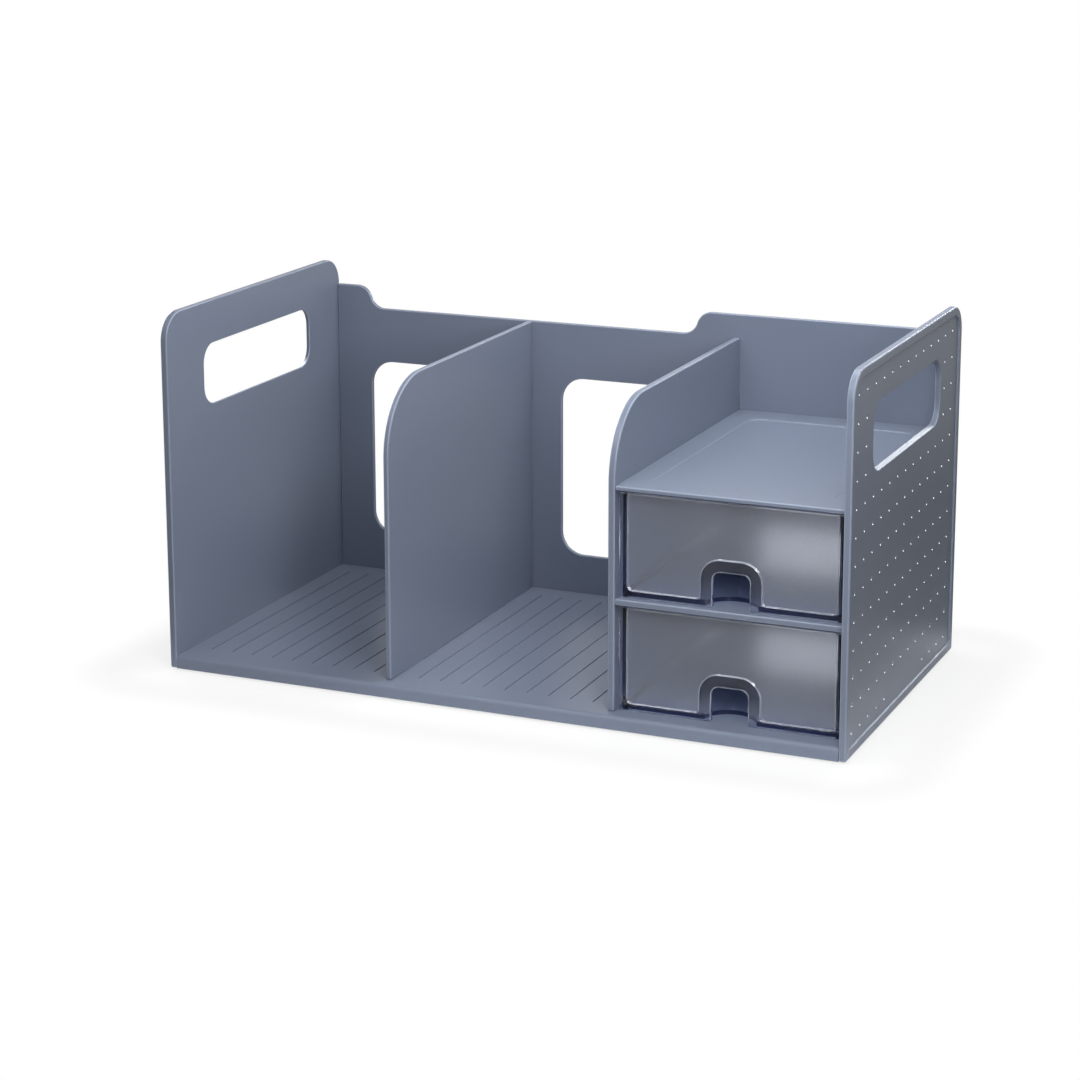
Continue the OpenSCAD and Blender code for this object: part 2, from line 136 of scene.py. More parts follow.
def shift(loop, inward):
    """The loop moved inward by a distance along its mitred corners"""
    moved = []
    for i, here in enumerate(loop):
        before = (here - loop[i - 1]).normalized()
        after = (loop[(i + 1) % len(loop)] - here).normalized()
        normal = Vector((-before.y - after.y, before.x + after.x)).normalized()
        mitre = max(SHARPEST_MITRE, normal.dot(Vector((-after.y, after.x))))
        moved.append(here + normal * inward / mitre)
    return moved


def rounding(radius, steps=EDGE_STEPS):
    """Inset and drop along a quarter round, from the flat face to the side"""
    turns = [math.pi / 2 * k / steps for k in range(steps + 1)]
    return [(radius * (1 - math.sin(turn)), radius * (1 - math.cos(turn))) for turn in turns]


def cove(radius, steps=EDGE_STEPS):
    """Inset and height along a quarter hollow, from the wall to the flat floor"""
    turns = [math.pi / 2 * k / steps for k in range(steps + 1)]
    return [(radius * (1 - math.cos(turn)), radius * (1 - math.sin(turn))) for turn in turns]


def holds(loop, point):
    """Whether a closed outline holds a point"""
    inside = False
    for a, b in zip(loop, loop[1:] + loop[:1]):
        if (a.y > point.y) != (b.y > point.y):
            if point.x < a.x + (point.y - a.y) * (b.x - a.x) / (b.y - a.y):
                inside = not inside
    return inside


# What a face is to its plastic: a rounded edge, which takes a painted highlight, a polished dimple
# or plain
EDGE, POLISH, PLAIN = "edge", "polish", "plain"
# A face of a band that is narrower than this, in metres, is part of a rounded edge
NARROW = 0.0005
# How a cap is filled: with triangles, inside its outlines only, and how near points may lie
TRIANGLES_INSIDE, CAP_TOLERANCE = 1, 1e-7
PLATE_SHARP, DRAWER_SHARP = math.radians(40), math.radians(35)


class Moulding:
    """A closed mesh made of rings of points, bands between them and flat caps"""

    def __init__(self, place):
        self.mesh = bmesh.new()
        for look in (EDGE, POLISH):
            self.mesh.faces.layers.float.new(look)
        self.place = place
        self.flat = {}

    def ring(self, loop, height):
        """Points of a loop at one height, or at the height that a function gives"""
        made = []
        for point in loop:
            w = height(point) if callable(height) else height
            vert = self.mesh.verts.new([c * MM for c in self.place(point.x, point.y, w)])
            self.flat[vert] = point
            made.append(vert)
        return made

    def face(self, corners, look):
        """Adds a smooth face, and what it is to the plastic"""
        made = self.mesh.faces.new(corners)
        made.smooth = True
        if look != PLAIN:
            made[self.mesh.faces.layers.float[look]] = 1.0

    def band(self, low, high, look=EDGE):
        """Joins two rings, where only narrow faces count as an edge"""
        for i, j in zip(range(len(low)), [*range(1, len(low)), 0]):
            corners = (low[i], low[j], high[j], high[i])
            sides = [(a.co - b.co).length for a, b in zip(corners, corners[1:] + corners[:1])]
            wide = look == EDGE and min(sides) >= NARROW
            self.face(corners, PLAIN if wide else look)

    def stack(self, rings, look=EDGE):
        for low, high in zip(rings, rings[1:]):
            self.band(low, high, look)

    def sides(self, loop, low, high, low_r, high_r, steps=EDGE_STEPS, sign=1):
        """Rings up a plate's side, rounded where it meets its two flat faces"""
        lower = [self.ring(shift(loop, sign * inset), low + drop)
                 for inset, drop in rounding(low_r, steps)]
        return lower + [self.ring(shift(loop, sign * inset), high - drop)
                        for inset, drop in reversed(rounding(high_r, steps))]

    def cap(self, outer, holes=(), look=PLAIN):
        """Fills a ring, with other rings as holes in it"""
        rings = [outer, *holes]
        verts = [v for ring in rings for v in ring]
        owner = [n for n, ring in enumerate(rings) for v in ring]
        edges = []
        for ring in rings:
            start = len(edges)
            edges += [(start + i, start + (i + 1) % len(ring)) for i in range(len(ring))]
        found = delaunay_2d_cdt([self.flat[v] for v in verts], edges, [], TRIANGLES_INSIDE,
                                CAP_TOLERANCE)
        origin = [o[0] if o else None for o in found[3]]
        loops = [[self.flat[v] for v in ring] for ring in rings]
        for face in found[2]:
            old = [origin[k] for k in face]
            owners = {owner[k] for k in old}
            if len(owners) == 1:
                middle = sum((self.flat[verts[k]] for k in old), Vector((0, 0))) / len(old)
                ring = owners.pop()
                if holds(loops[ring], middle) == (ring > 0):
                    continue
            self.face([verts[k] for k in old], look)

    def finish(self, name):
        bmesh.ops.recalc_face_normals(self.mesh, faces=self.mesh.faces)
        mesh = bpy.data.meshes.new(name)
        self.mesh.to_mesh(mesh)
        self.mesh.free()
        mesh.set_sharp_from_angle(angle=PLATE_SHARP)
        piece = bpy.data.objects.new(name, mesh)
        bpy.context.scene.collection.objects.link(piece)
        return piece

    def close(self, name, rings):
        """Joins rings into one closed body with a cap at each end"""
        self.stack(rings)
        self.cap(rings[0])
        self.cap(rings[-1])
        return self.finish(name)


def upright(u, v, w):
    """Plate that faces sideways: depth, height, distance to the right"""
    return (w, u, v)


def facing(u, v, w):
    """Plate that faces the front: width, height, distance to the back"""
    return (u, w, v)


def lying(u, v, w):
    """Plate that lies flat: width, depth, height"""
    return (u, v, w)


POCKET_EDGE_R = 0.08


def plate(name, place, outer, low, high, edge_r, holes=(), pockets=()):
    """Flat plate with rounded edges round its outline and holes, and crisp pockets"""
    made = Moulding(place)
    lower, upper = [], []
    for n, loop in enumerate([outer, *holes, *pockets]):
        crisp = n > len(holes)
        radius, steps = (POCKET_EDGE_R, CRISP_STEPS) if crisp else (edge_r, EDGE_STEPS)
        rings = made.sides(loop, low, high, radius, radius, steps, 1 if n == 0 else -1)
        made.stack(rings)
        lower.append(rings[0])
        upper.append(rings[-1])
    made.cap(lower[0], lower[1:])
    made.cap(upper[0], upper[1:])
    return made.finish(name)


# End panels

SLOT_LOW = PANEL_Z - SLOT_DROP - SLOT_H
SLOT_LOOP = rectangle(-SLOT_W / 2, SLOT_LOW, SLOT_W / 2, SLOT_LOW + SLOT_H, SLOT_R)
PANEL_FOOT_R, PANEL_INNER_R, PANEL_OUTER_R, SLOT_EDGE_R = 1.0, 0.7, 0.9, 0.6
LIP_R, LIP_FOOT_R, FIELD_COVE_R, FOOT_R_GROWTH = 0.5, 2.4, 0.45, 0.2
DIMPLES, DIMPLE_PITCH, DIMPLE_FRONT, DIMPLE_TOP, DIMPLE_R = 13, 14.93, 12.1, 191.6, 1.15
SLOT_ROWS, SLOT_COLUMNS = range(1, 4), range(2, 11)
BARE_ROW, BARE_COLUMNS = 12, range(5, 9)
# Width and depth of each ring of a dimple, as shares of its radius
DIMPLE_SHARES = ((1.0, 0.0), (0.9, 0.085), (0.75, 0.19), (0.55, 0.29), (0.3, 0.36))
DIMPLE_SIDES = 12


def panel_loop(inset, foot_r):
    top_r = END_CORNER - inset
    return rectangle(FRONT_Y + inset, FOOT_Z + inset, REAR_Y - inset, PANEL_Z - inset,
                     [foot_r, foot_r, top_r, top_r], LARGE_CORNER_STEPS)


def dimple_places():
    """Grid of dimples, without those where the hand slot and the bare place are"""
    for row in range(DIMPLES):
        for column in range(DIMPLES):
            if row in SLOT_ROWS and column in SLOT_COLUMNS:
                continue
            if row == BARE_ROW and column in BARE_COLUMNS:
                continue
            yield Vector((FRONT_Y + DIMPLE_FRONT + column * DIMPLE_PITCH,
                          FOOT_Z + DIMPLE_TOP - row * DIMPLE_PITCH))


def end_panel(name, side):
    """Plate with a raised rim, a sunken dimpled face and a flared hand slot"""
    made = Moulding(lambda u, v, w: (side * (RIGHT_X + w), u, v))
    field = END_T - FIELD_DEPTH
    rings = [made.ring(panel_loop(inset, PANEL_FOOT_R), drop)
             for inset, drop in rounding(PANEL_INNER_R)]
    rings += [made.ring(panel_loop(inset, PANEL_FOOT_R + inset * FOOT_R_GROWTH), END_T - drop)
              for inset, drop in reversed(rounding(PANEL_OUTER_R))]
    rings += [made.ring(panel_loop(RIM_W - inset, LIP_FOOT_R), END_T - drop)
              for inset, drop in rounding(LIP_R)]
    rings += [made.ring(panel_loop(RIM_W + inset, FIELD_FOOT), field + height)
              for inset, height in cove(FIELD_COVE_R)]
    made.stack(rings)
    flare = SLOT_FLARE * field / END_T
    slot = [made.ring(shift(SLOT_LOOP, -inset), drop) for inset, drop in rounding(SLOT_EDGE_R)]
    slot += [made.ring(shift(SLOT_LOOP, -flare - inset), field - drop)
             for inset, drop in reversed(rounding(SLOT_EDGE_R))]
    made.stack(slot)
    mouths = []
    for middle in dimple_places():
        dimple = [made.ring(circle(middle, DIMPLE_R * width, DIMPLE_SIDES),
                            field - DIMPLE_R * depth) for width, depth in DIMPLE_SHARES]
        made.stack(dimple, POLISH)
        made.cap(dimple[-1], look=POLISH)
        mouths.append(dimple[0])
    made.cap(rings[0], [slot[0]])
    made.cap(rings[-1], [slot[-1], *mouths])
    return made.finish(name)


# Back panel

BACK_CORNER_R, BACK_EDGE_R, POCKET_R = 1.0, 0.7, 0.3
FOOT_SHARES, REAR_SHARES = (0.25, 0.75), (0.3, 0.75)
UPRIGHTS = {"centre_divider": (DIVIDER_X, DIVIDER_T), "cabinet_wall": (WALL_X, WALL_T)}
SHELVES = {"middle_shelf": (MIDDLE_Z, MIDDLE_T), "top_shelf": (TOP_Z, TOP_T)}
SHELF_REAR_X = (CELL_X + SHELF_TONGUE_W, RIGHT_X - SHELF_TONGUE_W)
REAR_ZS = [along(BASE_Z, LOW_Z, s) for s in REAR_SHARES]
FOOT_YS = [along(SET_Y, BACK_Y, s) for s in FOOT_SHARES]
BASE_REAR_X = (LEFT_X + BAY_W / 2, SECOND_X + BAY_W / 2, MIDDLE_X)
BASE_TONGUE_Z = FOOT_Z + (BASE_H - BASE_TONGUE_T) / 2


def sweep(u, v, run, drop, steps=CORNER_STEPS):
    """Two like arcs between two levels"""
    r = (run * run + drop * drop) / (4 * abs(drop))
    turn = math.asin(abs(run) / (2 * r))
    du, dv = math.copysign(1, run), math.copysign(1, drop)
    first = [Vector((u + du * r * math.sin(a), v + dv * r * (1 - math.cos(a))))
             for a in (turn * k / steps for k in range(steps + 1))]
    last = [Vector((u + run - du * r * math.sin(a), v + drop - dv * r * (1 - math.cos(a))))
            for a in (turn * k / steps for k in range(steps - 1, -1, -1))]
    return first + last


def back_outline():
    """High at both ends and low in the middle, with a swept step between the levels"""
    left, right = LEFT_X + FIT, RIGHT_X - FIT
    drop = BACK_HIGH - BACK_LOW
    down = sweep(LEFT_X + SHOULDER_W, HIGH_Z, SHOULDER_RUN, -drop)
    up = sweep(WALL_X - SHOULDER_W - SHOULDER_RUN, LOW_Z, SHOULDER_RUN, drop)
    corners = rectangle(left, FOOT_Z, right, HIGH_Z, BACK_CORNER_R, SMALL_CORNER_STEPS)
    top_left = 3 * (SMALL_CORNER_STEPS + 1)
    return corners[:top_left] + up[::-1] + down[::-1] + corners[top_left:]


def window(u, v, h, r):
    return rectangle(u - WINDOW_W / 2, v, u + WINDOW_W / 2, v + h, r)


def back_panel():
    """Plate with a window in each bay and cell, and pockets for all tongues"""
    sill = BASE_Z + WINDOW_SILL
    windows = [window(LEFT_X + BAY_W / 2 + WINDOW_SHIFT, sill, WINDOW_H, WINDOW_R),
               window(SECOND_X + BAY_W / 2, sill, WINDOW_H, WINDOW_R)]
    for z in (BASE_Z, UPPER_CELL_Z):
        windows.append(window(MIDDLE_X - WINDOW_SHIFT, z + CELL_WINDOW_SILL, CELL_WINDOW_H,
                              CELL_WINDOW_R))
    tongues = []
    for x, t in UPRIGHTS.values():
        for z in REAR_ZS:
            tongues.append((x, z - TONGUE_W / 2, x + t, z + TONGUE_W / 2))
    for z, t in SHELVES.values():
        low = z + (t - TONGUE_T) / 2
        for x in SHELF_REAR_X:
            tongues.append((x - SHELF_TONGUE_W / 2, low, x + SHELF_TONGUE_W / 2, low + TONGUE_T))
    for x in BASE_REAR_X:
        tongues.append((x - TONGUE_W / 2, BASE_TONGUE_Z, x + TONGUE_W / 2,
                        BASE_TONGUE_Z + BASE_TONGUE_T))
    pockets = [rectangle(a - FIT, b - FIT, c + FIT, d + FIT, POCKET_R, TINY_CORNER_STEPS)
               for a, b, c, d in tongues]
    return plate("back_plate", facing, back_outline(), BACK_Y, REAR_Y, BACK_EDGE_R, windows,
                 pockets)


# Uprights and shelves

PLATE_R, ROOT_R, UPRIGHT_EDGE_R, SHELF_EDGE_R, TRAY_FRONT_R = 0.9, 0.3, 0.75, 0.7, 1.2
# Inset of each ring of the tray's soft step, and the share of the depth that it has reached
TRAY_STEP = ((0.25, 0.15), (0.55, 0.5), (0.85, 0.85), (1.1, 1.0))


def upright_plate(name, x, t):
    """Divider with a swept front corner, and tongues down and out at the back"""
    rear = BACK_Y - FIT
    tip_z = SKIN_Z - HOOK_L
    corners = [(SET_Y, BASE_Z, PLATE_R)]
    for y in FOOT_YS:
        start, end = y - TONGUE_W / 2, y + TONGUE_W / 2
        corners += [(start, BASE_Z, ROOT_R), (start, tip_z, PLATE_R),
                    (end, tip_z, PLATE_R), (end, BASE_Z, ROOT_R)]
    corners.append((rear, BASE_Z, PLATE_R))
    for z in REAR_ZS:
        start, end = z - TONGUE_W / 2, z + TONGUE_W / 2
        corners += [(rear, start, ROOT_R), (REAR_Y, start, PLATE_R),
                    (REAR_Y, end, PLATE_R), (rear, end, ROOT_R)]
    corners += [(rear, LOW_Z, PLATE_R), (SET_Y, LOW_Z, SWEPT_R, SWEPT_STEPS)]
    loop = outline(corners, SMALL_CORNER_STEPS)
    return plate(name, upright, loop, x, x + t, UPRIGHT_EDGE_R)


def shelf_plate(name, z, t, tray):
    """Shelf with rounded edges, with or without a tray that sinks towards the back"""
    made = Moulding(lying)
    loop = rectangle(CELL_X + FIT, SET_Y, RIGHT_X - FIT, BACK_Y - FIT, PLATE_R, SMALL_CORNER_STEPS)
    rings = made.sides(loop, z, z + t, SHELF_EDGE_R, SHELF_EDGE_R)
    if not tray:
        return made.close(name, rings)
    made.stack(rings)
    made.cap(rings[0])
    start, end = SET_Y + TRAY_FRONT, BACK_Y - TRAY_REAR
    edge = rectangle(CELL_X + TRAY_SIDE, start, RIGHT_X - TRAY_SIDE, end,
                     [TRAY_FRONT_R, TRAY_FRONT_R, TRAY_R, TRAY_R])

    def sunk(share):
        """Height of the tray at a point, with a share of the step's depth"""
        def height(point):
            run = min(1.0, max(0.0, (point.y - start) / (end - start)))
            return z + t - TRAY_DEPTH * run * share
        return height

    step = [made.ring(edge, z + t)]
    step += [made.ring(shift(edge, inset), sunk(share)) for inset, share in TRAY_STEP]
    made.stack(step, PLAIN)
    made.cap(rings[-1], [step[0]])
    made.cap(step[-1])
    return made.finish(name)


# Drawers

# Roundings of the front: its corners, the arch's feet, the outer edges and round the field
FRONT_CORNER_R, ARCH_FOOT_R, FRONT_EDGE_R, FRONT_REAR_R = 1.0, 0.8, 0.6, 0.35
FIELD_EDGE_R, FIELD_FLOOR_R = 0.6, 0.3
FIELD_CORNER_R, FIELD_ARCH_FOOT_R, FIELD_TOP_R = 3.0, 2.0, 1.2
# Roundings of the box, how far its inside reaches into the front, and its outside beyond that
BOX_FOOT_R, BOX_RIM_R, BOX_FLOOR_R, BOX_FRONT_R, BOX_INNER_FRONT_R = 1.2, 0.5, 2.0, 1.5, 2.2
BOX_OVERLAP, BOX_LEAD, BOX_STEPS = 0.4, 1.2, 8
# How much wider the box is cut than the arch, and how far the cutters reach past what they cut
ARCH_SLACK, ARCH_CUT_FOOT_R, CUT_BELOW, CUT_ABOVE, CUT_PAST = 0.5, 0.2, 2.0, 2.5, 1.0
MOON_SIDES, SKID_EDGE_R, SKID_CORNER_R, SKID_INSET = 96, 0.2, 0.24, 0.3
# Which way a face of the front looks, by how far its normal points back, and its plane in metres
STRAIGHT_AHEAD, ASIDE, SAME_PLANE = -0.99, -0.15, 2e-5


def drawer_front(x, z):
    """Clear front: a bordered plate with a sunken field and a finger arch"""
    w, h = DRAWER_W, DRAWER_H
    start, end = (w - ARCH_W) / 2, (w + ARCH_W) / 2
    loop = outline([(0, 0, FRONT_CORNER_R), (start, 0, ARCH_FOOT_R), (start, ARCH_H, ARCH_R),
                    (end, ARCH_H, ARCH_R), (end, 0, ARCH_FOOT_R), (w, 0, FRONT_CORNER_R),
                    (w, h, FRONT_CORNER_R), (0, h, FRONT_CORNER_R)])
    rim_start, rim_end = start - ARCH_RIM, end + ARCH_RIM
    crown, crown_r = ARCH_H + ARCH_RIM, ARCH_R + ARCH_RIM
    left, right, foot, top = BORDER_SIDE, w - BORDER_SIDE, BORDER_FOOT, h - BORDER_TOP
    field = outline([(left, foot, FIELD_CORNER_R), (rim_start, foot, FIELD_ARCH_FOOT_R),
                     (rim_start, crown, crown_r), (rim_end, crown, crown_r),
                     (rim_end, foot, FIELD_ARCH_FOOT_R), (right, foot, FIELD_CORNER_R),
                     (right, top, FIELD_TOP_R), (left, top, FIELD_TOP_R)])
    made = Moulding(lambda u, v, d: (x + u, DRAWER_Y + d, z + v))
    rings = [made.ring(shift(loop, inset), drop)
             for inset, drop in rounding(FRONT_EDGE_R, FINE_EDGE_STEPS)]
    rings += [made.ring(shift(loop, inset), FRONT_T - drop)
              for inset, drop in reversed(rounding(FRONT_REAR_R))]
    made.stack(rings)
    made.cap(rings[-1])
    step = [made.ring(shift(field, -inset), drop)
            for inset, drop in rounding(FIELD_EDGE_R, FINE_EDGE_STEPS)]
    step += [made.ring(shift(field, inset), FRONT_RECESS - height)
             for inset, height in cove(FIELD_FLOOR_R)]
    made.stack(step)
    made.cap(rings[0], [step[0]])
    made.cap(step[-1])
    return made.finish("drawer_front")


def drawer_tub(z):
    """Box of the drawer, round at its rim, its floor and its rear corners"""
    floor_z, top_z = z + SKID_H, z + DRAWER_H - BOX_DROP
    inner_y = DRAWER_Y + FRONT_T - BOX_OVERLAP
    x0, x1 = BOX_X, BOX_X + BOX_W
    rear = DRAWER_Y + DRAWER_D
    inner_r = BOX_R - BOX_T
    outer = rectangle(x0, inner_y - BOX_LEAD, x1, rear,
                      [BOX_FRONT_R, BOX_FRONT_R, BOX_R, BOX_R], BOX_STEPS)
    inner = rectangle(x0 + BOX_T, inner_y, x1 - BOX_T, rear - BOX_T,
                      [BOX_INNER_FRONT_R, BOX_INNER_FRONT_R, inner_r, inner_r], BOX_STEPS)
    made = Moulding(lying)
    rings = made.sides(outer, floor_z, top_z, BOX_FOOT_R, BOX_RIM_R)
    rings += [made.ring(shift(inner, -inset), top_z - drop)
              for inset, drop in rounding(BOX_RIM_R)]
    rings += [made.ring(shift(inner, inset), floor_z + FLOOR_T + height)
              for inset, height in cove(BOX_FLOOR_R, FLOOR_STEPS)]
    return made.close("drawer_tub", rings)


def arch_cutter(z):
    """Opens the front of the box behind the finger arch"""
    start, end = MIDDLE_X - ARCH_W / 2 - ARCH_SLACK, MIDDLE_X + ARCH_W / 2 + ARCH_SLACK
    crown_r = ARCH_R + ARCH_SLACK
    arch = rectangle(start, z - CUT_BELOW, end, z + ARCH_H + ARCH_SLACK,
                     [ARCH_CUT_FOOT_R, ARCH_CUT_FOOT_R, crown_r, crown_r])
    made = Moulding(facing)
    return made.close("arch_cutter", [made.ring(arch, DRAWER_Y - CUT_PAST),
                                      made.ring(arch, DRAWER_Y + FRONT_T + CUT_PAST)])


def moon_cutter(z):
    """Cuts the half-moon out of the box's floor"""
    moon = circle(Vector((MIDDLE_X, DRAWER_Y)), MOON_R, MOON_SIDES)
    made = Moulding(lying)
    return made.close("moon_cutter", [made.ring(moon, z - CUT_BELOW),
                                      made.ring(moon, z + SKID_H + FLOOR_T + CUT_ABOVE)])


def skid(x, z):
    """Low bar under the box, on which the drawer slides"""
    made = Moulding(lying)
    loop = rectangle(x, DRAWER_Y + FRONT_T / 2, x + SKID_W, DRAWER_Y + DRAWER_D - BOX_R,
                     SKID_CORNER_R, TINY_CORNER_STEPS)
    top_z = z + SKID_H + FLOOR_T / 2
    return made.close("skid", made.sides(loop, z, top_z, SKID_EDGE_R, SKID_EDGE_R, CRISP_STEPS))


def cut_or_join(target, tool, operation):
    """Cuts the tool out of the target or joins it on, and uses the tool up"""
    modifier = target.modifiers.new(operation.lower(), "BOOLEAN")
    modifier.operation = operation
    modifier.solver = "EXACT"
    modifier.object = tool
    bpy.context.view_layer.update()
    result = bpy.data.meshes.new_from_object(
        target.evaluated_get(bpy.context.evaluated_depsgraph_get()))
    target.modifiers.clear()
    target.data = result
    bpy.data.objects.remove(tool)


def mark(mesh, name, chosen):
    """Gives each face a value of one where it is chosen, which the plastic reads"""
    if name not in mesh.attributes:
        mesh.attributes.new(name, "FLOAT", "FACE")
    for face, share in zip(mesh.polygons, mesh.attributes[name].data):
        share.value = float(chosen(face))


def drawer(name, z):
    """Box, skids and front in one, with its field and its front edges marked"""
    tub = drawer_tub(z)
    cut_or_join(tub, arch_cutter(z), "DIFFERENCE")
    cut_or_join(tub, moon_cutter(z), "DIFFERENCE")
    for x in (BOX_X + SKID_INSET, BOX_X + BOX_W - SKID_W - SKID_INSET):
        cut_or_join(tub, skid(x, z), "UNION")
    cut_or_join(tub, drawer_front(CELL_X + SIDE_GAP, z), "UNION")
    tub.name = name
    mesh = tub.data
    field_y = (DRAWER_Y + FRONT_RECESS) * MM
    mark(mesh, "frost", lambda face: face.normal.y < STRAIGHT_AHEAD
         and abs(face.center.y - field_y) < SAME_PLANE)
    mark(mesh, EDGE, lambda face: STRAIGHT_AHEAD < face.normal.y < ASIDE
         and face.center.y < field_y)
    for face in mesh.polygons:
        face.use_smooth = True
    mesh.set_sharp_from_angle(angle=DRAWER_SHARP)
    return tub


# Materials

class Wire:
    """A socket in a material, which takes part in sums"""

    def __init__(self, finish, socket):
        self.finish, self.socket = finish, socket

    def worked(self, operation, one, other):
        return self.finish.node("ShaderNodeMath", {"operation": operation}, {0: one, 1: other})

    def __add__(self, other):
        return self.worked("ADD", self, other)

    def __radd__(self, other):
        return self.worked("ADD", other, self)

    def __sub__(self, other):
        return self.worked("SUBTRACT", self, other)

    def __rsub__(self, other):
        return self.worked("SUBTRACT", other, self)

    def __mul__(self, other):
        return self.worked("MULTIPLY", self, other)

    def __rmul__(self, other):
        return self.worked("MULTIPLY", other, self)

    def __gt__(self, other):
        return self.worked("GREATER_THAN", self, other)

    def __lt__(self, other):
        return self.worked("LESS_THAN", self, other)


class Finish:
    """The nodes of a material, or of the world"""

    def __init__(self, owner, output="ShaderNodeOutputMaterial"):
        owner.use_nodes = True
        self.owner, self.output, self.tree = owner, output, owner.node_tree
        self.tree.nodes.clear()

    def node(self, kind, settings=None, inputs=None, output=0):
        """Adds a node: its settings first, then the values and links of its sockets"""
        made = self.tree.nodes.new(kind)
        for key, value in (settings or {}).items():
            setattr(made, key, value)
        for key, value in (inputs or {}).items():
            if isinstance(value, Wire):
                self.tree.links.new(value.socket, made.inputs[key])
            else:
                made.inputs[key].default_value = value
        return Wire(self, made.outputs[output]) if made.outputs else None

    def place(self):
        return self.node("ShaderNodeTexCoord", output="Object")

    def noise(self, scale, detail=2.0, rough=0.5):
        return self.node("ShaderNodeTexNoise", None, {
            "Vector": self.place(), "Scale": scale, "Detail": detail, "Roughness": rough})

    def marked(self, name):
        """The value that a mesh's faces carry under a name"""
        return self.node("ShaderNodeAttribute", {"attribute_name": name}, output="Fac")

    def ray(self, kind):
        return self.node("ShaderNodeLightPath", output=kind)

    def vector(self, operation, *values, output=0):
        return self.node("ShaderNodeVectorMath", {"operation": operation},
                         dict(enumerate(values)), output)

    def ease(self, value, low, high):
        """Rises softly from nought to one between two values"""
        return self.node("ShaderNodeMapRange", {"interpolation_type": "SMOOTHSTEP"},
                         {"Value": value, "From Min": low, "From Max": high})

    def blend(self, share, one, other):
        return self.node("ShaderNodeMix", {"data_type": "RGBA"}, {0: share, 6: one, 7: other},
                         output=2)

    def bump(self, height, strength):
        return self.node("ShaderNodeBump", None,
                         {"Height": height, "Distance": 1.0, "Strength": strength})

    def plastic(self, inputs):
        return self.node("ShaderNodeBsdfPrincipled", None, inputs)

    def either(self, share, one, other):
        return self.node("ShaderNodeMixShader", None, {0: share, 1: one, 2: other})

    def show(self, surface, volume=None):
        """Sends the finished surface out, and what fills the body if anything does"""
        ends = {"Surface": surface}
        if volume is not None:
            ends["Volume"] = volume
        self.node(self.output, None, ends)
        return self.owner


def grey(value):
    return (value, value, value, 1.0)


SHELL_LIGHT = (0.180, 0.208, 0.276, 1.0)
SHELL_DARK = (0.164, 0.190, 0.254, 1.0)
# Painted highlight: a lighter colour for the rounded edges, standing in for the light lines they
# catch
SHELL_EDGE_HIGHLIGHT = (0.30, 0.345, 0.435, 1.0)
SHELL_SHEEN = (0.72, 0.86, 1.0, 1.0)
SHELL_HIGHLIGHT_SHARE, SHELL_ROUGH, SHELL_ROUGH_SPREAD = 0.55, 0.26, 0.05
SHELL_GRAIN_SCALE, SHELL_WAVE_SCALE, SHELL_CLOUD_SCALE = 2600.0, 14.0, 5.0
SHELL_GRAIN_DEPTH, SHELL_WAVE_DEPTH, SHELL_RELIEF = 0.00002, 0.00012, 0.5


def shell_plastic():
    """Moulded grey-blue plastic, satin, with a fine grain, painted edge highlights and bright
    dimples
    """
    f = Finish(bpy.data.materials.new("shell_plastic"))
    grain = f.noise(SHELL_GRAIN_SCALE, detail=3.0, rough=0.6)
    waves = f.noise(SHELL_WAVE_SCALE)
    body = f.blend(f.noise(SHELL_CLOUD_SCALE, detail=1.0), SHELL_DARK, SHELL_LIGHT)
    relief = grain * SHELL_GRAIN_DEPTH + waves * SHELL_WAVE_DEPTH
    return f.show(f.plastic({
        # Rounded edges lightened towards the painted highlight colour
        "Base Color": f.blend(f.marked(EDGE) * SHELL_HIGHLIGHT_SHARE, body, SHELL_EDGE_HIGHLIGHT),
        "Roughness": SHELL_ROUGH + waves * SHELL_ROUGH_SPREAD + grain * SHELL_ROUGH_SPREAD,
        "Normal": f.bump(relief, SHELL_RELIEF),
        "IOR": 1.5, "Specular IOR Level": 0.32, "Specular Tint": SHELL_SHEEN,
        "Coat Weight": f.marked(POLISH), "Coat Roughness": 0.06, "Coat IOR": 3.2}))


CLEAR_TINT = (0.95, 0.965, 1.0, 1.0)
# Light haze: the frosted field's own scattering, and a painted highlight on the front edges
CLEAR_HAZE_AND_HIGHLIGHT = (0.78, 0.84, 1.0, 1.0)
# Painted navy shade, lit like a surface, which caught rays meet in place of the plastic's depths
CLEAR_DEPTH_SHADE = (0.13, 0.155, 0.28, 1.0)
CLEAR_SHADOW = (0.78, 0.81, 0.90, 1.0)
CLEAR_SMOKE = (0.06, 0.22, 0.70, 1.0)
CLEAR_SMOKE_DENSITY = 12.0
CLEAR_ROUGH, CLEAR_SCUFF_ROUGH, CLEAR_FROST_ROUGH, CLEAR_DEEP_ROUGH = 0.03, 0.02, 0.22, 0.5
CLEAR_SCUFF_SCALE, CLEAR_WAVE_SCALE, CLEAR_GRAIN_SCALE = 900.0, 30.0, 2200.0
CLEAR_WAVE_DEPTH, CLEAR_GRAIN_DEPTH, CLEAR_RELIEF = 0.00003, 0.00002, 0.4
# Shares of the light haze: on the frosted field, and as a painted highlight on the front edges
FROST_HAZE_SHARE, EDGE_HIGHLIGHT_SHARE = 0.12, 0.2
# A ray mirrored more often than this is caught, and meets a painted navy shade in place of the
# depths
CAUGHT = 1.5


